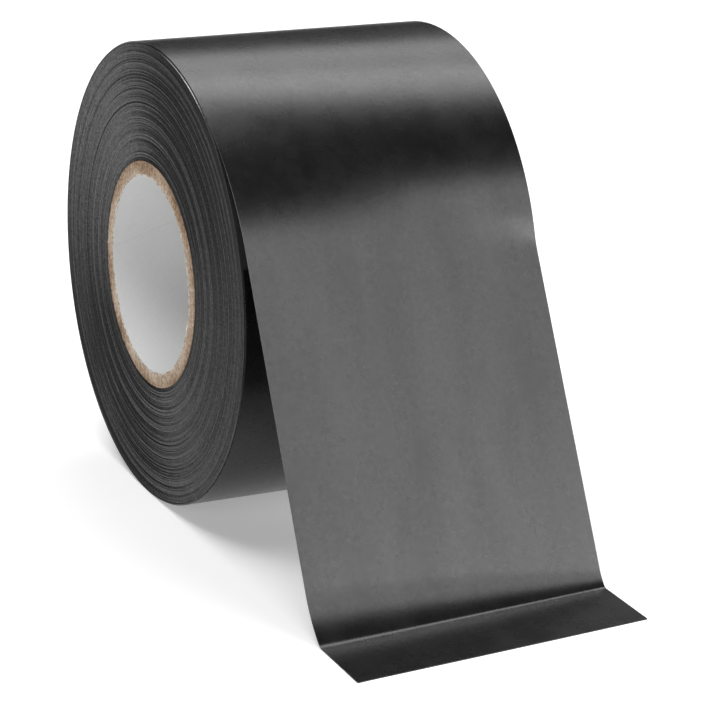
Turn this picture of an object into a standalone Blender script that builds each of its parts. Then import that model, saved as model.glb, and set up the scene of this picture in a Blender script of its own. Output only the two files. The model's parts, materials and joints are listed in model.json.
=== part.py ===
"""A roll of wide electrical tape, lying on its side with the end of the tape peeled off and folded.

The roll's axis runs along X and the peeled tail leaves it towards -Y. The origin is the point of the
surface that the roll rests on, under the middle of its width. Everything is in metres.
"""

import math

import bmesh
import bpy
from mathutils import Vector

# The roll.
TAPE_WIDTH = 0.0508
ROLL_RADIUS = 0.0378
CORE_OUTER_RADIUS = 0.01855
CORE_INNER_RADIUS = 0.01615

# The tape: a vinyl film with a rubber adhesive on the side that faces the core.
FILM_THICKNESS = 0.00013
ADHESIVE_THICKNESS = 0.00004

# The core: a grey paper liner inside glued plies of kraft board.
LINER_THICKNESS = 0.0003
KRAFT_PLY_COUNT = 5

# The peeled tail, in a plane that touches the roll along the peel line.
TAIL_LEAN_DEG = 27.5
BEND_RADIUS = 0.0032
FLAP_LENGTH = 0.0126

# Clearances between neighbouring solids.
LAYER_GAP = 0.000005
PLY_GAP = 0.00002
CORE_CLEARANCE = 0.00005
HINGE_GAP = 0.0001

# Every turned piece has the same facets, with one flat facet lying on the surface below the axis.
FACETS = 72
FACET_ANGLE = 2 * math.pi / FACETS
BEND_STEPS = 12

HALF_WIDTH = TAPE_WIDTH / 2
TAPE_THICKNESS = FILM_THICKNESS + LAYER_GAP + ADHESIVE_THICKNESS
PACK_RADIUS = ROLL_RADIUS - TAPE_THICKNESS - LAYER_GAP
AXIS_HEIGHT = ROLL_RADIUS * math.cos(FACET_ANGLE / 2)
FIRST_CORNER = -math.pi / 2 + FACET_ANGLE / 2

# Angles about the roll's axis run from +Y over the top. The peel line is at the front, above the axis.
TAIL_LEAN = math.radians(TAIL_LEAN_DEG)
PEEL_ANGLE = math.pi - TAIL_LEAN
WRAP_FACETS = FACETS - 2

MATERIALS = {
    "vinyl_film": ((0.035, 0.035, 0.036), 0.42),
    "adhesive": ((0.012, 0.012, 0.012), 0.18),
    "kraft_board": ((0.52, 0.36, 0.22), 0.85),
    "liner_paper": ((0.42, 0.42, 0.42), 0.75),
}


def clear_scene():
    for obj in list(bpy.data.objects):
        bpy.data.objects.remove(obj)


def material(name):
    found = bpy.data.materials.get(name)
    if found:
        return found
    colour, roughness = MATERIALS[name]
    made = bpy.data.materials.new(name)
    made.use_nodes = True
    shader = made.node_tree.nodes["Principled BSDF"]
    shader.inputs["Base Color"].default_value = (*colour, 1)
    shader.inputs["Roughness"].default_value = roughness
    shader.inputs["Metallic"].default_value = 0
    return made


def add_piece(name, bm, material_name, parent):
    """The bmesh as an object under its parent empty, shaded smooth except at its sharp edges."""
    bmesh.ops.recalc_face_normals(bm, faces=bm.faces)
    mesh = bpy.data.meshes.new(name)
    bm.to_mesh(mesh)
    bm.free()
    mesh.shade_smooth()
    mesh.set_sharp_from_angle(angle=math.radians(30))
    mesh.materials.append(material(material_name))
    piece = bpy.data.objects.new(name, mesh)
    bpy.context.scene.collection.objects.link(piece)
    piece.parent = parent
    return piece


def add_empty(name, place, parent=None):
    """An empty at a place given in world space, on the axis that its children turn about."""
    empty = bpy.data.objects.new(name, None)
    bpy.context.scene.collection.objects.link(empty)
    empty.parent = parent
    empty.location = place - parent.matrix_world.translation if parent else place
    bpy.context.view_layer.update()
    return empty


def on_circle(radius, angle):
    """The offset from the roll's axis of a point at this radius and angle."""
    return Vector((0, radius * math.cos(angle), radius * math.sin(angle)))


def turned_piece(name, inner, outer, start, facets, material_name, parent):
    """A band between two radii, spun about X. It closes on itself when it has all the facets."""
    closed = facets == FACETS
    bm = bmesh.new()
    corners = []
    for radius, x in ((inner, -HALF_WIDTH), (outer, -HALF_WIDTH), (outer, HALF_WIDTH), (inner, HALF_WIDTH)):
        corners.append(bm.verts.new(on_circle(radius, start) + Vector((x, 0, 0))))
    if closed:
        outline = [bm.edges.new((corners[i], corners[i - 1])) for i in range(4)]
    else:
        outline = [bm.faces.new(corners)]
    bmesh.ops.spin(
        bm,
        geom=outline,
        cent=(0, 0, 0),
        axis=(1, 0, 0),
        angle=facets * FACET_ANGLE,
        steps=facets,
        use_merge=closed,
    )
    return add_piece(name, bm, material_name, parent)


def extruded_piece(name, outline, material_name, parent):
    """A closed outline in the YZ plane, drawn out over the tape's width."""
    origin = parent.matrix_world.translation
    bm = bmesh.new()
    corners = [bm.verts.new(Vector((-HALF_WIDTH, 0, 0)) + point - origin) for point in outline]
    drawn = bmesh.ops.extrude_face_region(bm, geom=[bm.faces.new(corners)])
    moved = [item for item in drawn["geom"] if isinstance(item, bmesh.types.BMVert)]
    bmesh.ops.translate(bm, verts=moved, vec=(TAPE_WIDTH, 0, 0))
    return add_piece(name, bm, material_name, parent)


# The tail's outer face follows this path: straight down the tangent at the peel line, then round the
# bend to the flap, whose underside lies on the surface.
ROLL_CENTRE = Vector((0, 0, AXIS_HEIGHT))
PEEL_LINE = ROLL_CENTRE + on_circle(ROLL_RADIUS, PEEL_ANGLE)
TAIL_DIRECTION = Vector((0, -math.sin(TAIL_LEAN), -math.cos(TAIL_LEAN)))
TAIL_NORMAL = Vector((0, -math.cos(TAIL_LEAN), math.sin(TAIL_LEAN)))
BEND_ANGLE = math.pi / 2 - TAIL_LEAN
BEND_CENTRE_HEIGHT = TAPE_THICKNESS + BEND_RADIUS
STRAIGHT_END_HEIGHT = BEND_CENTRE_HEIGHT - BEND_RADIUS * TAIL_NORMAL.z
STRAIGHT_LENGTH = (STRAIGHT_END_HEIGHT - PEEL_LINE.z) / TAIL_DIRECTION.z
BEND_START = PEEL_LINE + TAIL_DIRECTION * STRAIGHT_LENGTH
BEND_CENTRE = BEND_START + TAIL_NORMAL * BEND_RADIUS


def bend_normal(share):
    """The outward normal of the film at this share of the bend."""
    angle = TAIL_LEAN + share * BEND_ANGLE
    return Vector((0, -math.cos(angle), math.sin(angle)))


def film_path(depth, first_share, last_share):
    """Points at a depth under the outer face, round a part of the bend."""
    steps = round(BEND_STEPS * (last_share - first_share))
    shares = [first_share + (last_share - first_share) * i / steps for i in range(steps + 1)]
    return [BEND_CENTRE - bend_normal(share) * (BEND_RADIUS + depth) for share in shares]


def tail_outline(top, bottom):
    """From just past the peel line to the middle of the bend, between two depths under the outer face."""
    start = PEEL_LINE + TAIL_DIRECTION * HINGE_GAP
    end_share = 0.5 - HINGE_GAP / 2 / (BEND_RADIUS * BEND_ANGLE)
    outer = [start - TAIL_NORMAL * top] + film_path(top, 0, end_share)
    inner = [start - TAIL_NORMAL * bottom] + film_path(bottom, 0, end_share)
    return outer + inner[::-1]


def flap_outline(top, bottom):
    """From the middle of the bend along the surface to the cut end of the tape."""
    start_share = 0.5 + HINGE_GAP / 2 / (BEND_RADIUS * BEND_ANGLE)
    end = BEND_CENTRE + Vector((0, -FLAP_LENGTH, -BEND_RADIUS))
    outer = film_path(top, start_share, 1) + [end - Vector((0, 0, top))]
    inner = film_path(bottom, start_share, 1) + [end - Vector((0, 0, bottom))]
    return outer + inner[::-1]


def add_core(roll):
    """The paper tube: the liner that shows in the bore, then the kraft plies from inside to outside."""
    liner_outer = CORE_INNER_RADIUS + LINER_THICKNESS
    turned_piece("core_liner", CORE_INNER_RADIUS, liner_outer, FIRST_CORNER, FACETS, "liner_paper", roll)
    pitch = (CORE_OUTER_RADIUS - liner_outer) / KRAFT_PLY_COUNT
    for i in range(KRAFT_PLY_COUNT):
        inner = liner_outer + i * pitch + PLY_GAP
        outer = liner_outer + (i + 1) * pitch
        turned_piece(f"core_kraft_ply_{i + 1}", inner, outer, FIRST_CORNER, FACETS, "kraft_board", roll)


def add_wound_tape(roll):
    """The wound turns as one ring, and the outermost turn as a film and an adhesive of its own."""
    inner = CORE_OUTER_RADIUS + CORE_CLEARANCE
    turned_piece("wound_tape_pack", inner, PACK_RADIUS, FIRST_CORNER, FACETS, "vinyl_film", roll)
    wrap_start = PEEL_ANGLE - WRAP_FACETS * FACET_ANGLE
    film_inner = ROLL_RADIUS - FILM_THICKNESS
    adhesive_inner = ROLL_RADIUS - TAPE_THICKNESS
    turned_piece("outer_wrap_film", film_inner, ROLL_RADIUS, wrap_start, WRAP_FACETS, "vinyl_film", roll)
    turned_piece(
        "outer_wrap_adhesive",
        adhesive_inner,
        film_inner - LAYER_GAP,
        wrap_start,
        WRAP_FACETS,
        "adhesive",
        roll,
    )


def add_tail(roll):
    """The peeled tail, which lifts about the peel line, and the flap, which folds about the bend."""
    tail_hinge = add_empty("tail_hinge", PEEL_LINE, roll)
    flap_hinge = add_empty("flap_hinge", BEND_CENTRE - bend_normal(0.5) * BEND_RADIUS, tail_hinge)
    layers = (
        ("film", 0, FILM_THICKNESS, "vinyl_film"),
        ("adhesive", FILM_THICKNESS + LAYER_GAP, TAPE_THICKNESS, "adhesive"),
    )
    for layer, top, bottom, material_name in layers:
        extruded_piece(f"tail_{layer}", tail_outline(top, bottom), material_name, tail_hinge)
        extruded_piece(f"flap_{layer}", flap_outline(top, bottom), material_name, flap_hinge)


def main():
    clear_scene()
    roll = add_empty("roll", ROLL_CENTRE)
    add_core(roll)
    add_wound_tape(roll)
    add_tail(roll)


main()
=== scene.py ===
"""The looks of the electrical tape roll: film, adhesive, wound edges and paper core, around the CAD frame.

The roll's axis runs along X and the peeled tail leaves it towards -Y. Lengths are in metres. Across the
tape's width, v runs from 0 at the end of the roll that faces the camera to 1 at the other end. A front
angle is measured about the roll's axis, from the horizontal at the front, up over the top to the back.
"""

import json
import math

import bpy
import numpy as np
from mathutils import Matrix, Vector, noise


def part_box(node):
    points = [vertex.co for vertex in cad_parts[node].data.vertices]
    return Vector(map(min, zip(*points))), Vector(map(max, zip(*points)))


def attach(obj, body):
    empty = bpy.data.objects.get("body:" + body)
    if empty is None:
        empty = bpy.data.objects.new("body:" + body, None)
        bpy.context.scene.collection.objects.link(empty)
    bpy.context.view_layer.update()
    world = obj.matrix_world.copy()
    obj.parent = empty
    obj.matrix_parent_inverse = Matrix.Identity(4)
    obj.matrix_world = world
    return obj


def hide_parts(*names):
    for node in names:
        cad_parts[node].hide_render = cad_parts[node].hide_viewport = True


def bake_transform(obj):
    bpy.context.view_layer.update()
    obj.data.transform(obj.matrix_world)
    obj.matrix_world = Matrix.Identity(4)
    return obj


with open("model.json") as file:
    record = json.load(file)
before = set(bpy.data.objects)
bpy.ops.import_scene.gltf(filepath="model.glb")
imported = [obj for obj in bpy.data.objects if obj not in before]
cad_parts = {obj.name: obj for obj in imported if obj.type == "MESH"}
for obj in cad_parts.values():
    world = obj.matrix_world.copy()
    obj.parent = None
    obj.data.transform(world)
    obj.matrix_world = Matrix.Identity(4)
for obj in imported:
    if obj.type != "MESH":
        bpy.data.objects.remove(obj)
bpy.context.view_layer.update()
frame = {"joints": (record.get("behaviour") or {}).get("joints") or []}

MM = 0.001
DEG = math.pi / 180

# Sizes and places that the frame gives. Its turned pieces are faceted and no corner lies on the Y axis, so
# a node's box is a little smaller than its radius: CORNER_SCALE makes up for that.
FILM_LOW, FILM_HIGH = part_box("outer_wrap_film")
HALF_WIDTH = FILM_HIGH.x
AXIS_HEIGHT = (FILM_LOW.z + FILM_HIGH.z) / 2
JOINT_PLACES = {joint["name"]: Vector(joint["pos_m"]) for joint in frame["joints"]}
PEEL_POINT = JOINT_PLACES["tail_lift"]
ROLL_CENTRE = Vector((0, 0, AXIS_HEIGHT))
ROLL_RADIUS = (PEEL_POINT - ROLL_CENTRE).length
CORNER_SCALE = ROLL_RADIUS / FILM_HIGH.y
PACK_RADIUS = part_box("wound_tape_pack")[1].y * CORNER_SCALE
CORE_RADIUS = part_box("core_kraft_ply_5")[1].y * CORNER_SCALE
LINER_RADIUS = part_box("core_liner")[1].y * CORNER_SCALE

# The tape's layers, as depths under its outer face, and its turns.
FILM_THICKNESS = 0.13 * MM
LAYER_GAP = 0.005 * MM
TAPE_THICKNESS = 0.175 * MM
TURN_COUNT = 109

# The paper core. Each ply is a strip wound as a helix: its seam is the angle where it starts, its twist is
# how far it turns along the roll, and ragged is how deep its cut ends are torn. TEAR_NOISE holds the
# fineness, the lacunarity and the octaves of the tears.
PLY_COUNT = 5
PLY_GAP = 0.02 * MM
LINER_THICKNESS = 0.3 * MM
SEAM_GAP = 0.03 * MM
RIM_INSET = 0.12 * MM
PLY_STATIONS_ALONG = 31
PLY_STATIONS_AROUND = 541
TEAR_SIZE = 0.8 * MM
TEAR_NOISE = (0.6, 2, 3)
LINER_SEAM = 0.0
LINER_TWIST = 1.1
LINER_RAGGED = 0.16 * MM
KRAFT_FIRST_SEAM = 0.7
KRAFT_SEAM_STEP = 1.9
KRAFT_TWIST = 2.4
KRAFT_RAGGED = 0.09 * MM

# Loose fibres round the rims of the bore, in tufts. NEAR_SHARE of them are at the end that faces the
# camera. Lengths, lifts off the liner and bows are drawn between two limits in millimetres.
FIBRE_COUNT = 340
FIBRE_LENGTHS = (0.3, 1.3)
FIBRE_LIFTS = (-0.1, 0.3)
FIBRE_BOWS = (-0.1, 0.12)
FIBRE_RADIUS = 0.06 * MM
FIBRE_TIP = 0.3
FIBRE_STATIONS = 7
FIBRE_SIDES = 3
FIBRE_INSET = 0.10 * MM
FIBRE_RISE = 0.08 * MM
TUFT_COUNT = 14
TUFT_SPREAD = 0.12
NEAR_SHARE = 0.6

# The slit edges of the turns, as depths inside the end of the roll in millimetres. A wave of the slow drift
# has an amplitude, a number of cycles and a phase, and a step has its place and its extra depth. Places run
# from the outermost turn, at 0, to the core, at 1.
MEAN_DEPTH = 0.10
DEPTH_JITTER = 0.02
DRIFT_WAVES = ((0.03, 1.3, 0.1), (0.02, 4.7, 0.6), (0.012, 11.0, 0.3))
DEEP_STEPS = ((0.15, 0.12), (0.27, 0.16), (0.39, 0.14), (0.51, 0.18), (0.70, 0.13), (0.84, 0.08))
STEP_TURNS = 0.8
INNERMOST_EXTRA = (0.10, 0.06, 0.02)
OUTERMOST_DEPTH = 0.02
LEAST_DEPTH = 0.01
VALLEY_DEPTHS = (0.02, 0.09)
CORE_CLEARANCE = 0.05 * MM
CORE_SIDE_DEPTH = 0.12 * MM
FILM_SIDE_DEPTH = 0.03 * MM
TURNED_STEPS = 180
WOBBLE_DEPTH = 0.03 * MM
WOBBLE_AROUND = 1.5
WOBBLE_ACROSS = 2500

# A painted sheen at the upper back of the near end, extra speckled shine that stands in for light falling
# there: full inside the first radius, gone past the second.
PAINTED_SHEEN_PLACE = (-HALF_WIDTH, 0.8 * ROLL_RADIUS, AXIS_HEIGHT + 0.6 * ROLL_RADIUS)
PAINTED_SHEEN_RADII = (6 * MM, 36 * MM)

# The path of the peeled tape, at the near end of the roll (v = 0) and at the far end (v = 1). The near edge
# has lifted early and stands off the roll, and the far edge still sticks a little below the peel line.
PEEL_LIFTS = (62 * DEG, 18 * DEG)
TAIL_OFFSETS = (1.043, 0.977)
TAIL_LEANS = (27.7 * DEG, 28.7 * DEG)
BEND_LENGTHS = (9.0 * MM, 3.0 * MM)
BEND_GROWTH = 1.5
BEND_EASE = 1.5
CREASE_LENGTHS = (1.4 * MM, 0.6 * MM)
CREASE_GROWTH = 0.5
FLAP_LENGTHS = (11.6 * MM, 11.9 * MM)
CREASE_LEAN = 52 * DEG
JOIN_RUN = 0.07
JOIN_SOFTENING = 0.02

# The film's pieces part behind the roll and half way down the tail. The outermost turn ends under the place
# where the far edge of the tail leaves the roll.
BACK_SEAM = 170 * DEG
WRAP_END = 377.5 * DEG

# Stations across the tape's width and along each stretch of its path.
WIDTH_STATIONS = 41
WRAP_STATIONS = 220
ROLL_STATIONS = 150
LIFT_STATIONS = 36
STRAIGHT_STATIONS = 31
BEND_STEPS = 14
FLAP_STEPS = 10

# The outermost turn was wound a little inside the end that faces the camera.
NEAR_INSET = 0.32 * MM

# The studio: for each softbox its azimuth and elevation in degrees, its width and height in metres and its
# radiance.
SOFTBOX_DISTANCE = 1.2
SOFTBOXES = {
    "back_right_upper_softbox": (134, 58, 1.0, 0.30, 5.2),
    "back_right_lower_softbox": (142, 40, 1.0, 0.30, 2.4),
    "front_right_upper_softbox": (32, 34, 0.8, 0.30, 3.6),
    "front_right_lower_softbox": (32, 14, 0.8, 0.40, 6.6),
    "front_left_softbox": (-48, 18, 0.7, 0.60, 2.7),
    "back_left_softbox": (-130, 50, 0.7, 0.60, 0.8),
    "overhead_softbox": (-80, 75, 0.6, 0.60, 7.5),
}
WORLD_STRENGTH = 0.08
FLOOR_RADIUS = 3.0
FLOOR_GLOW = 0.3

# The camera: its angles in degrees about the roll's centre, and how far the aim lies off that centre.
CAMERA_AZIMUTH = -26.92
CAMERA_ELEVATION = 19.04
CAMERA_ROLL = 2.07
CAMERA_DISTANCE = 453.6 * MM
AIM_RIGHT = 10.16 * MM
AIM_DOWN = 15.45 * MM
CAMERA_LENS_MM = 139.5

random = np.random.default_rng(7)


def lerp(pair, share):
    return pair[0] + (pair[1] - pair[0]) * share


def around_roll(radius, front_angle):
    """The point (y, z) at a radius and a front angle."""
    return np.array([-radius * np.cos(front_angle), AXIS_HEIGHT + radius * np.sin(front_angle)]).T


def direction(lean):
    """Down the tape, where it leans this far forward from the vertical."""
    return np.array([-np.sin(lean), -np.cos(lean)]).T


# ---------------------------------------------------------------- meshes


def finish_piece(name, verts, faces, material, smooth_angle=30 * DEG):
    mesh = bpy.data.meshes.new(name)
    mesh.from_pydata([tuple(map(float, v)) for v in verts], [], faces)
    mesh.validate()
    mesh.shade_smooth()
    mesh.set_sharp_from_angle(angle=smooth_angle)
    mesh.materials.append(material)
    piece = bpy.data.objects.new(name, mesh)
    bpy.context.scene.collection.objects.link(piece)
    return piece


def shell(name, outer, inner, material):
    """A closed sheet between two grids of points of the same size, rows by columns by (x, y, z)."""
    rows, columns = outer.shape[:2]
    count = rows * columns
    verts = np.concatenate([outer.reshape(-1, 3), inner.reshape(-1, 3)])
    index = np.arange(count).reshape(rows, columns)
    faces = []

    def quads(a, b, c, d):
        faces.extend(np.stack([a.ravel(), b.ravel(), c.ravel(), d.ravel()], 1).tolist())

    quads(index[:-1, :-1], index[:-1, 1:], index[1:, 1:], index[1:, :-1])
    under = index + count
    quads(under[:-1, :-1], under[1:, :-1], under[1:, 1:], under[:-1, 1:])
    for top, low in ((index[:, 0], under[:, 0]), (index[::-1, -1], under[::-1, -1])):
        quads(top[:-1], top[1:], low[1:], low[:-1])
    for top, low in ((index[0, ::-1], under[0, ::-1]), (index[-1, :], under[-1, :])):
        quads(top[:-1], top[1:], low[1:], low[:-1])
    return finish_piece(name, verts, faces, material)


def turned(name, outline, steps, material, wobble):
    """A closed outline of (x, radius) points, turned all the way round the roll's axis. Wobble shifts x."""
    outline = np.array(outline)
    angles = np.arange(steps) * 2 * math.pi / steps
    x = outline[None, :, 0] + wobble(outline, angles)
    radius = np.repeat(outline[None, :, 1], steps, 0)
    y = radius * np.cos(angles)[:, None]
    z = AXIS_HEIGHT + radius * np.sin(angles)[:, None]
    verts = np.stack([x, y, z], 2).reshape(-1, 3)
    count = len(outline)
    index = np.arange(steps * count).reshape(steps, count)
    after = np.roll(index, -1, 0)
    faces = np.stack([index, np.roll(index, -1, 1), np.roll(after, -1, 1), after], 2)
    return finish_piece(name, verts, faces.reshape(-1, 4).tolist(), material)


# ---------------------------------------------------------------- the tape's path


def bend_leans(v):
    """Leans and step lengths down the gentle bend, round the crease and along the flap."""
    lean = lerp(TAIL_LEANS, v)
    share = (np.arange(BEND_STEPS) + 0.5) / BEND_STEPS
    bend = lean + (CREASE_LEAN - lean) * share**BEND_EASE
    crease = CREASE_LEAN + (math.pi / 2 - CREASE_LEAN) * share
    leans = np.concatenate([bend, crease, np.full(FLAP_STEPS, math.pi / 2)])
    steps = np.concatenate([
        np.full(BEND_STEPS, lerp(BEND_LENGTHS, v**BEND_GROWTH) / BEND_STEPS),
        np.full(BEND_STEPS, lerp(CREASE_LENGTHS, v**CREASE_GROWTH) / BEND_STEPS),
        np.full(FLAP_STEPS, lerp(FLAP_LENGTHS, v) / FLAP_STEPS),
    ])
    return leans, steps


def tail_normal(v):
    """The (y, z) direction that the tail's outer face looks in."""
    lean = lerp(TAIL_LEANS, v)
    return np.array([-math.cos(lean), math.sin(lean)])


def lower_path(v):
    """The outer face from the top of the bend to the cut end of the tape, with the flap on the surface."""
    leans, steps = bend_leans(v)
    points = np.concatenate([[[0, 0]], np.cumsum(direction(leans) * steps[:, None], 0)])
    points[:, 1] += TAPE_THICKNESS - points[-1, 1]
    normal = tail_normal(v)
    offset = (points[0] - [0, AXIS_HEIGHT]) @ normal
    points[:, 0] += (lerp(TAIL_OFFSETS, v) * ROLL_RADIUS - offset) / normal[0]
    return points


def hermite(start, start_run, end, end_run, count):
    """Points along a cubic that leaves start along start_run and arrives at end along end_run."""
    t = np.linspace(0, 1, count)[:, None]
    return (
        (2 * t**3 - 3 * t**2 + 1) * start
        + (t**3 - 2 * t**2 + t) * start_run
        + (3 * t**2 - 2 * t**3) * end
        + (t**3 - t**2) * end_run
    )


def upper_path(v, lower_start):
    """The outer face from the seam behind the roll, over the top and off the roll, down to the bend."""
    lean = lerp(TAIL_LEANS, v)
    offset = lerp(TAIL_OFFSETS, v)
    lift = lerp(PEEL_LIFTS, v)
    on_roll = around_roll(ROLL_RADIUS, np.linspace(BACK_SEAM, lift, ROLL_STATIONS))
    inside = 1 - offset**2
    run = JOIN_RUN + math.sqrt((inside + math.hypot(inside, JOIN_SOFTENING)) / 2)
    join = np.array([0, AXIS_HEIGHT]) + ROLL_RADIUS * (offset * tail_normal(v) + run * direction(lean))
    gap = np.linalg.norm(join - on_roll[-1])
    off_roll = hermite(on_roll[-1], direction(lift) * gap, join, direction(lean) * gap, LIFT_STATIONS)
    straight = join + (lower_start - join) * np.linspace(0, 1, STRAIGHT_STATIONS)[:, None]
    return np.concatenate([on_roll, off_roll[1:], straight[1:]])


def tape_grids():
    """The outer face from the back seam to the cut end, and the unit normals there, a row for each v."""
    paths = []
    for v in np.linspace(0, 1, WIDTH_STATIONS):
        lower = lower_path(v)
        upper = upper_path(v, lower[0])
        path = np.concatenate([upper, lower[1:]])
        x = np.full((len(path), 1), lerp((NEAR_INSET - HALF_WIDTH, HALF_WIDTH), v))
        paths.append(np.hstack([x, path]))
    grid = np.array(paths)
    along = np.gradient(grid[:, :, 1:], axis=1)
    along /= np.linalg.norm(along, axis=2, keepdims=True)
    normals = np.zeros_like(grid)
    normals[:, :, 1] = along[:, :, 1]
    normals[:, :, 2] = -along[:, :, 0]
    return grid, normals


def wrap_grids():
    """The outer face of the outermost turn below the tail, round to the back seam, and its unit normals."""
    angles = np.linspace(WRAP_END, BACK_SEAM, WRAP_STATIONS)
    grid = np.zeros((WIDTH_STATIONS, WRAP_STATIONS, 3))
    grid[:, :, 0] = np.linspace(NEAR_INSET - HALF_WIDTH, HALF_WIDTH, WIDTH_STATIONS)[:, None]
    grid[:, :, 1:] = around_roll(ROLL_RADIUS, angles)
    normals = np.zeros_like(grid)
    normals[:, :, 1:] = around_roll(1, angles) - [0, AXIS_HEIGHT]
    return grid, normals


def add_layer(layer, material, top, bottom):
    """One of the tape's two layers, between two depths under the outer face, in its three pieces."""
    def sheet(name, points, outward):
        piece = shell(name, points - outward * top, points - outward * bottom, material)
        return piece

    wrapped = sheet(f"outermost_turn_{layer}", *wrap_grids())
    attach(wrapped, "roll")
    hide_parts(f"outer_wrap_{layer}")

    grid, normals = tape_grids()
    middle = ROLL_STATIONS + LIFT_STATIONS - 1 + STRAIGHT_STATIONS // 2
    peeled = sheet(f"peeled_tail_{layer}", grid[:, : middle + 1], normals[:, : middle + 1])
    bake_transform(peeled)
    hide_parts(f"tail_{layer}")

    folded = sheet(f"folded_end_{layer}", grid[:, middle:], normals[:, middle:])
    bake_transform(folded)
    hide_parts(f"flap_{layer}")


def add_tape(film, adhesive):
    """The film and the adhesive coat of the outermost turn, of the tail and of the flap."""
    add_layer("film", film, 0, FILM_THICKNESS)
    add_layer("adhesive", adhesive, FILM_THICKNESS + LAYER_GAP, TAPE_THICKNESS)


# ---------------------------------------------------------------- the wound turns


def turn_depths():
    """How far each turn's slit edge lies inside the end of the roll, from the core out."""
    turns = np.arange(TURN_COUNT)
    share = 1 - turns / (TURN_COUNT - 1)
    drift = 0
    for size, cycles, phase in DRIFT_WAVES:
        drift = drift + size * np.sin(2 * math.pi * (cycles * share + phase))
    depth = MEAN_DEPTH + drift + random.uniform(-DEPTH_JITTER, DEPTH_JITTER, TURN_COUNT)
    for place, deeper in DEEP_STEPS:
        depth += deeper * np.exp(-(((share - place) * TURN_COUNT / STEP_TURNS) ** 2))
    depth[: len(INNERMOST_EXTRA)] += INNERMOST_EXTRA
    depth[-1] = OUTERMOST_DEPTH
    return np.maximum(depth, LEAST_DEPTH) * MM


def end_outline(inner, outer, sign):
    """From the core out, the zigzag of crests and valleys of one end of the wound turns."""
    pitch = (outer - inner) / TURN_COUNT
    points = [(sign * (HALF_WIDTH - CORE_SIDE_DEPTH), inner)]
    valleys = random.uniform(*VALLEY_DEPTHS, TURN_COUNT) * MM
    for i, depth in enumerate(turn_depths()):
        points.append((sign * (HALF_WIDTH - depth), inner + (i + 0.5) * pitch))
        if i < TURN_COUNT - 1:
            points.append((sign * (HALF_WIDTH - depth - valleys[i]), inner + (i + 1) * pitch))
    points.append((sign * (HALF_WIDTH - FILM_SIDE_DEPTH), outer))
    return points


def edge_wobble(outline, angles):
    """Shifts along X for each angle and outline point, so that no slit edge runs quite true."""
    shift = np.zeros((len(angles), len(outline)))
    for j, radius in enumerate(outline[:, 1]):
        for i, angle in enumerate(angles):
            around = (math.cos(angle) * WOBBLE_AROUND, math.sin(angle) * WOBBLE_AROUND)
            shift[i, j] = noise.noise(Vector((*around, radius * WOBBLE_ACROSS)))
    return -shift * WOBBLE_DEPTH * np.sign(outline[:, 0])


def add_wound_turns(material):
    """All the turns under the outermost one, as one solid with a ridge for each turn at both ends."""
    inner = CORE_RADIUS + CORE_CLEARANCE
    near = end_outline(inner, PACK_RADIUS, -1)
    far = end_outline(inner, PACK_RADIUS, 1)
    pack = turned("wound_turns", near + far[::-1], TURNED_STEPS, material, edge_wobble)
    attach(pack, "roll")
    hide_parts("wound_tape_pack")


# ---------------------------------------------------------------- the paper core


def spiral_ply(name, inner, outer, seam, twist, ragged, material):
    """A helical strip of paper with its long edges a seam gap apart, torn a little at both ends."""
    gap = SEAM_GAP / inner
    along = np.linspace(0, 1, PLY_STATIONS_ALONG)
    around = np.linspace(0, 1, PLY_STATIONS_AROUND)
    half_length = HALF_WIDTH - RIM_INSET
    ends = (0, len(along) - 1)
    grids = []
    for radius in (outer, inner):
        grid = np.zeros((len(around), len(along), 3))
        for i, u in enumerate(around):
            for j, share in enumerate(along):
                angle = seam + twist * share + gap / 2 + u * (2 * math.pi - gap)
                place = Vector((math.cos(angle), math.sin(angle), share)) * (radius / TEAR_SIZE)
                tear = noise.fractal(place, *TEAR_NOISE) * ragged if j in ends else 0
                x = -half_length + tear + 2 * half_length * share
                grid[i, j] = (x, radius * math.cos(angle), AXIS_HEIGHT + radius * math.sin(angle))
        grids.append(grid)
    return shell(name, grids[0], grids[1], material)


def fibre_path(start_angle, length, lift, bow, sign):
    """Points along one loose paper fibre at the cut rim of the liner."""
    shares = np.linspace(0, 1, FIBRE_STATIONS)
    arch = np.sin(shares * math.pi)
    angles = start_angle + shares * length / LINER_RADIUS
    radii = LINER_RADIUS - LINER_THICKNESS / 2 - lift * shares + bow * arch
    x = sign * (HALF_WIDTH - FIBRE_INSET + FIBRE_RISE * arch)
    return np.stack([x, radii * np.cos(angles), AXIS_HEIGHT + radii * np.sin(angles)], 1)


def thread(points):
    """The vertices and faces of a closed thread along the points, thinner towards its tip."""
    verts = []
    faces = []
    corners = np.arange(FIBRE_SIDES) * 2 * math.pi / FIBRE_SIDES
    sideways = np.array([1, 0, 0])
    for i, point in enumerate(points):
        radius = FIBRE_RADIUS * (1 - (1 - FIBRE_TIP) * i / (len(points) - 1))
        outward = np.array([0, point[1], point[2] - AXIS_HEIGHT]) / LINER_RADIUS
        verts.extend(point + radius * (math.cos(a) * outward + math.sin(a) * sideways) for a in corners)
    for i in range(0, len(verts) - FIBRE_SIDES, FIBRE_SIDES):
        for side in range(FIBRE_SIDES):
            a = i + side
            b = i + (side + 1) % FIBRE_SIDES
            faces.append((a, b, b + FIBRE_SIDES, a + FIBRE_SIDES))
    faces.append(tuple(reversed(range(FIBRE_SIDES))))
    faces.append(tuple(range(len(verts) - FIBRE_SIDES, len(verts))))
    return verts, faces


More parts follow.
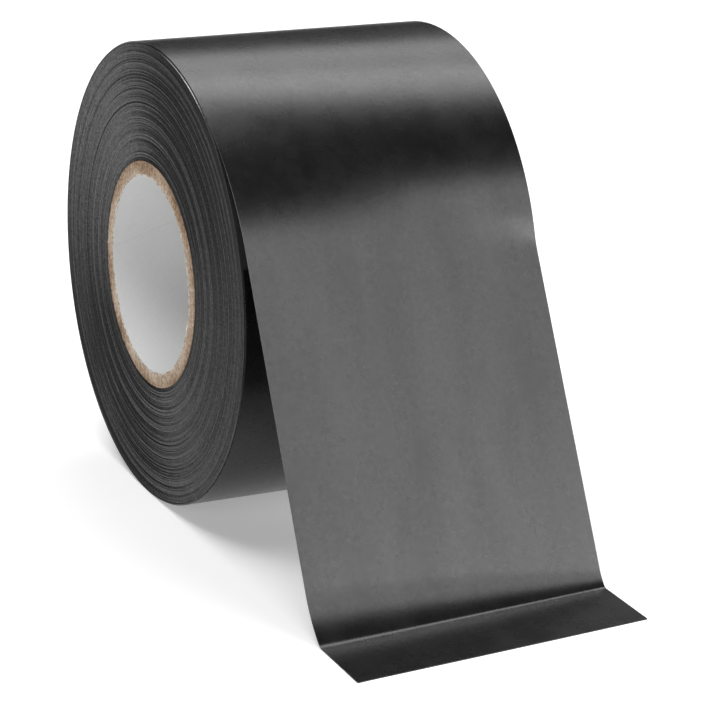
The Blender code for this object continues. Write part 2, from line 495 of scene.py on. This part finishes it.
def add_fibres(material):
    """Loose paper fibres in tufts round both rims of the liner."""
    verts = []
    faces = []
    tufts = [random.uniform(0, 2 * math.pi) for _ in range(TUFT_COUNT)]
    for _ in range(FIBRE_COUNT):
        sign = -1 if random.random() < NEAR_SHARE else 1
        length = random.uniform(*FIBRE_LENGTHS) * MM * random.choice((-1, 1))
        lift = random.uniform(*FIBRE_LIFTS) * MM
        bow = random.uniform(*FIBRE_BOWS) * MM
        start_angle = random.choice(tufts) + random.normal(0, TUFT_SPREAD)
        more_verts, more_faces = thread(fibre_path(start_angle, length, lift, bow, sign))
        faces.extend(tuple(index + len(verts) for index in face) for face in more_faces)
        verts.extend(more_verts)
    fibres = finish_piece("loose_fibres", verts, faces, material, smooth_angle=math.pi)
    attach(fibres, "roll")


def add_core(kraft, liner_paper, loose_fibre):
    """The liner, its loose fibres and the kraft plies, from the bore out."""
    inner = LINER_RADIUS - LINER_THICKNESS
    liner = spiral_ply("liner_ply", inner, LINER_RADIUS, LINER_SEAM, LINER_TWIST, LINER_RAGGED, liner_paper)
    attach(liner, "roll")
    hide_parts("core_liner")
    add_fibres(loose_fibre)
    pitch = (CORE_RADIUS - LINER_RADIUS) / PLY_COUNT
    for i in range(PLY_COUNT):
        inner = LINER_RADIUS + i * pitch + PLY_GAP
        outer = LINER_RADIUS + (i + 1) * pitch
        seam = KRAFT_FIRST_SEAM + KRAFT_SEAM_STEP * i
        ply = spiral_ply(f"kraft_ply_{i + 1}", inner, outer, seam, KRAFT_TWIST, KRAFT_RAGGED, kraft)
        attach(ply, "roll")
        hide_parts(f"core_kraft_ply_{i + 1}")


# ---------------------------------------------------------------- materials


class Nodes:
    """A material's node tree, with short ways to add to it."""

    def __init__(self, name, **sockets):
        self.material = bpy.data.materials.new(name)
        self.material.use_nodes = True
        self.tree = self.material.node_tree
        self.shader = self.tree.nodes["Principled BSDF"]
        for socket, value in sockets.items():
            self.shader.inputs[socket.replace("_", " ")].default_value = value

    def add(self, kind, inputs=(), **settings):
        node = self.tree.nodes.new(kind)
        for key, value in settings.items():
            setattr(node, key, value)
        for key, value in dict(inputs).items():
            if isinstance(value, bpy.types.NodeSocket):
                self.tree.links.new(value, node.inputs[key])
            else:
                node.inputs[key].default_value = value
        return node

    def math(self, operation, a, b=0.0):
        return self.add("ShaderNodeMath", {0: a, 1: b}, operation=operation).outputs[0]

    def scaled(self, value, factor):
        return self.math("MULTIPLY", value, factor)

    def weigh(self, a, share, b):
        """Share of a and the rest of b."""
        return self.math("ADD", self.scaled(a, share), self.scaled(b, 1 - share))

    def coordinates(self):
        return self.add("ShaderNodeTexCoord").outputs["Object"]

    def split(self, vector):
        return self.add("ShaderNodeSeparateXYZ", {"Vector": vector}).outputs

    def facing_ends(self):
        """1 where a face looks along the roll's axis, and 0 where it looks across it."""
        true_normal = self.add("ShaderNodeNewGeometry").outputs["True Normal"]
        return self.math("ABSOLUTE", self.split(true_normal)["X"])

    def distance(self, place):
        """How far a point of the surface is from a place, in metres."""
        inputs = {0: self.coordinates(), 1: place}
        return self.add("ShaderNodeVectorMath", inputs, operation="DISTANCE").outputs["Value"]

    def place(self, scale):
        """Object coordinates, stretched by a scale for each axis."""
        inputs = {"Vector": self.coordinates(), "Scale": scale}
        return self.add("ShaderNodeMapping", inputs).outputs["Vector"]

    def noise(self, vector, detail, roughness=0.5):
        inputs = {"Vector": vector, "Scale": 1.0, "Detail": detail, "Roughness": roughness}
        return self.add("ShaderNodeTexNoise", inputs).outputs["Fac"]

    def spread(self, value, low, high, start=0.3, end=0.7):
        inputs = {"Value": value, "From Min": start, "From Max": end, "To Min": low, "To Max": high}
        return self.add("ShaderNodeMapRange", inputs).outputs["Result"]

    def colours(self, value, stops):
        ramp = self.add("ShaderNodeValToRGB", {"Fac": value})
        elements = ramp.color_ramp.elements
        for i, (place, colour) in enumerate(stops):
            element = elements[i] if i < 2 else elements.new(place)
            element.position = place
            element.color = (*colour, 1)
        return ramp.outputs["Color"]

    def bump(self, height, distance, under=None):
        inputs = {"Height": height, "Distance": distance, "Strength": 1.0}
        if under is not None:
            inputs["Normal"] = under
        return self.add("ShaderNodeBump", inputs).outputs["Normal"]

    def connect(self, socket, output):
        self.tree.links.new(output, self.shader.inputs[socket])

    def mix(self, factor, a, b):
        """Colour a where the factor is 0 and b where it is 1. A Mix node's colour sockets go by number."""
        return self.add("ShaderNodeMix", {0: factor, 6: a, 7: b}, data_type="RGBA").outputs[2]

    def polar(self):
        """The radius about the roll's axis in metres, and the angle in radians."""
        parts = self.split(self.coordinates())
        height = self.math("SUBTRACT", parts["Z"], AXIS_HEIGHT)
        squares = self.math("ADD", self.scaled(parts["Y"], parts["Y"]), self.scaled(height, height))
        return self.math("SQRT", squares), self.math("ARCTAN2", height, parts["Y"])

    def vector(self, x, y, z=0.0):
        return self.add("ShaderNodeCombineXYZ", {"X": x, "Y": y, "Z": z}).outputs["Vector"]


def grey(value):
    return (value, value, value)


def vinyl_film():
    """Calendered soft vinyl: satin, with faint mottling and lines along the tape."""
    nodes = Nodes("vinyl_film", Specular_IOR_Level=0.5)
    mottle = nodes.noise(nodes.place((260, 260, 260)), 5, 0.6)
    streaks = nodes.noise(nodes.place((110, 26, 26)), 3, 0.55)
    grain = nodes.noise(nodes.place((1300, 1300, 1300)), 3, 0.65)
    nodes.connect("Base Color", nodes.colours(mottle, ((0.3, grey(0.0025)), (0.7, grey(0.0045)))))
    uneven = nodes.math("ADD", nodes.spread(mottle, -0.02, 0.02), nodes.spread(streaks, 0.26, 0.29))
    nodes.connect("Roughness", uneven)
    patchy = nodes.math("ADD", nodes.spread(streaks, 0.45, 0.56), nodes.spread(grain, -0.05, 0.05))
    nodes.connect("Specular IOR Level", patchy)
    soft = nodes.bump(mottle, 0.008 * MM)
    nodes.connect("Normal", nodes.bump(grain, 0.006 * MM, under=soft))
    return nodes.material


def adhesive_coat():
    """Glossy black rubber adhesive with the faint relief that peeling leaves."""
    nodes = Nodes("adhesive", Specular_IOR_Level=0.5)
    relief = nodes.noise(nodes.place((900, 500, 500)), 3, 0.55)
    nodes.connect("Base Color", nodes.colours(relief, ((0.3, grey(0.004)), (0.7, grey(0.008)))))
    nodes.connect("Roughness", nodes.spread(relief, 0.16, 0.26))
    nodes.connect("Normal", nodes.bump(relief, 0.02 * MM))
    return nodes.material


def wound_edges():
    """The slit edges of the turns: each turn its own tone, with broken fine lines and a painted sheen at
    the upper back of the near end.
    """
    nodes = Nodes("wound_edges", Specular_IOR_Level=0.3)
    radius, angle = nodes.polar()
    turns = nodes.scaled(radius, 1 / TAPE_THICKNESS)
    lines = nodes.noise(nodes.vector(nodes.scaled(turns, 0.9), nodes.scaled(angle, 3.0)), 3, 0.65)
    bands = nodes.noise(nodes.vector(nodes.scaled(turns, 0.16), nodes.scaled(angle, 0.6), 5.0), 2)
    speckle = nodes.noise(nodes.place((2600, 2600, 2600)), 3, 0.7)
    tone = nodes.weigh(lines, 0.6, bands)
    nodes.connect("Base Color", nodes.colours(tone, ((0.35, grey(0.012)), (0.65, grey(0.026)))))
    on_rim = nodes.math("LESS_THAN", nodes.facing_ends(), 0.2)
    rough = nodes.spread(speckle, 0.50, 0.36, 0.35, 0.65)
    nodes.connect("Roughness", nodes.math("SUBTRACT", rough, nodes.scaled(on_rim, 0.25)))
    # Painted sheen: extra speckled shine towards the upper back of the near end, standing in for light that
    # falls there.
    painted_sheen_reach = nodes.spread(nodes.distance(PAINTED_SHEEN_PLACE), 1.0, 0.0, *PAINTED_SHEEN_RADII)
    painted_sheen = nodes.math("MULTIPLY", painted_sheen_reach, nodes.spread(speckle, 0.1, 0.7, 0.35, 0.65))
    shine = nodes.math("ADD", nodes.spread(speckle, 0.12, 0.44, 0.35, 0.65), painted_sheen)
    nodes.connect("Specular IOR Level", nodes.math("ADD", shine, on_rim))
    ridges = nodes.bump(lines, 0.012 * MM)
    nodes.connect("Normal", nodes.bump(speckle, 0.02 * MM, under=ridges))
    return nodes.material


def kraft_board():
    """Brown paperboard, furry, and paler towards the bore."""
    nodes = Nodes("kraft_board", Specular_IOR_Level=0.2)
    radius, _ = nodes.polar()
    fibres = nodes.noise(nodes.place((1500, 1500, 1500)), 5, 0.7)
    clouds = nodes.noise(nodes.place((180, 180, 180)), 2)
    paler = nodes.spread(radius, 0.09, -0.03, LINER_RADIUS, CORE_RADIUS)
    tone = nodes.math("ADD", nodes.weigh(fibres, 0.65, clouds), paler)
    stops = ((0.36, (0.11, 0.065, 0.038)), (0.5, (0.29, 0.195, 0.125)), (0.66, (0.52, 0.43, 0.345)))
    nodes.connect("Base Color", nodes.colours(tone, stops))
    nodes.connect("Roughness", nodes.spread(fibres, 0.75, 0.95))
    nodes.connect("Normal", nodes.bump(fibres, 0.06 * MM))
    return nodes.material


def liner_paper():
    """Smooth grey-white paper with a faint grain along its winding, and brown where it was cut."""
    nodes = Nodes("liner_paper", Specular_IOR_Level=0.3)
    _, angle = nodes.polar()
    x = nodes.split(nodes.coordinates())["X"]
    wound = nodes.math("SUBTRACT", nodes.scaled(angle, 0.016), nodes.scaled(x, 0.75))
    grain = nodes.noise(nodes.vector(nodes.scaled(wound, 2200), nodes.scaled(x, 260)), 4, 0.6)
    fibres = nodes.noise(nodes.place((1800, 1800, 1800)), 4, 0.6)
    tone = nodes.weigh(grain, 0.5, fibres)
    face = nodes.colours(tone, ((0.3, (0.63, 0.635, 0.63)), (0.7, (0.68, 0.685, 0.68))))
    cut = nodes.colours(fibres, ((0.42, (0.30, 0.21, 0.14)), (0.62, (0.62, 0.56, 0.49))))
    on_cut = nodes.math("GREATER_THAN", nodes.facing_ends(), 0.5)
    nodes.connect("Base Color", nodes.mix(on_cut, face, cut))
    nodes.connect("Roughness", nodes.spread(fibres, 0.62, 0.78))
    nodes.connect("Normal", nodes.bump(fibres, 0.03 * MM))
    return nodes.material


def paper_fibre():
    """Loose pale fibres of the torn liner."""
    nodes = Nodes("paper_fibre", Roughness=0.8, Specular_IOR_Level=0.2)
    tone = nodes.noise(nodes.place((700, 700, 700)), 2)
    stops = ((0.35, (0.42, 0.36, 0.29)), (0.6, (0.85, 0.83, 0.79)))
    nodes.connect("Base Color", nodes.colours(tone, stops))
    return nodes.material


# ---------------------------------------------------------------- studio


def add_floor():
    """A plain pale floor that gives off a little light of its own, so that shadows stay soft and pale."""
    bpy.ops.mesh.primitive_circle_add(vertices=96, radius=FLOOR_RADIUS, fill_type="NGON")
    floor = bpy.context.object
    floor.name = "floor"
    paint = Nodes("floor", Base_Color=(0.86, 0.86, 0.86, 1), Roughness=0.9, Specular_IOR_Level=0.1)
    paint.shader.inputs["Emission Color"].default_value = (1, 1, 1, 1)
    paint.shader.inputs["Emission Strength"].default_value = FLOOR_GLOW
    floor.data.materials.append(paint.material)


def toward(azimuth, elevation):
    """A unit vector. Azimuth 0 is -Y, towards the viewer, and 90 is +X."""
    a, e = azimuth * DEG, elevation * DEG
    return Vector((math.sin(a) * math.cos(e), -math.cos(a) * math.cos(e), math.sin(e)))


def add_softbox(name, azimuth, elevation, width, height, radiance):
    """A rectangular light that faces the roll. Radiance times pi times its area is its power."""
    data = bpy.data.lights.new(name, "AREA")
    data.shape = "RECTANGLE"
    data.size, data.size_y = width, height
    data.energy = radiance * math.pi * width * height
    box = bpy.data.objects.new(name, data)
    bpy.context.scene.collection.objects.link(box)
    away = toward(azimuth, elevation)
    box.location = ROLL_CENTRE + away * SOFTBOX_DISTANCE
    box.rotation_euler = away.to_track_quat("Z", "Y").to_euler()
    box.visible_camera = False


def add_lights():
    for name, (azimuth, elevation, width, height, radiance) in SOFTBOXES.items():
        add_softbox(name, azimuth, elevation, width, height, radiance)
    world = bpy.data.worlds.new("studio")
    world.use_nodes = True
    background = world.node_tree.nodes["Background"]
    background.inputs["Color"].default_value = (1, 1, 1, 1)
    background.inputs["Strength"].default_value = WORLD_STRENGTH
    bpy.context.scene.world = world


def add_camera():
    """The camera at the photograph's viewing angle, tilted a little about its own line of sight."""
    back = toward(CAMERA_AZIMUTH, CAMERA_ELEVATION)
    level = Vector((0, 0, 1)).cross(back).normalized()
    tilt = Matrix.Rotation(CAMERA_ROLL * DEG, 3, back)
    right = tilt @ level
    up = back.cross(right)
    data = bpy.data.cameras.new("camera")
    data.lens = CAMERA_LENS_MM
    data.clip_start = 0.01
    camera = bpy.data.objects.new("camera", data)
    bpy.context.scene.collection.objects.link(camera)
    place = ROLL_CENTRE + back * CAMERA_DISTANCE + right * AIM_RIGHT - up * AIM_DOWN
    axes = Matrix((right, up, back)).transposed()
    camera.matrix_world = Matrix.Translation(place) @ axes.to_4x4()
    bpy.context.scene.camera = camera


def main():
    add_camera()
    add_lights()
    add_floor()
    add_tape(vinyl_film(), adhesive_coat())
    add_wound_turns(wound_edges())
    add_core(kraft_board(), liner_paper(), paper_fibre())
    bpy.context.scene.view_settings.view_transform = "Standard"


main()
bpy.context.view_layer.update()
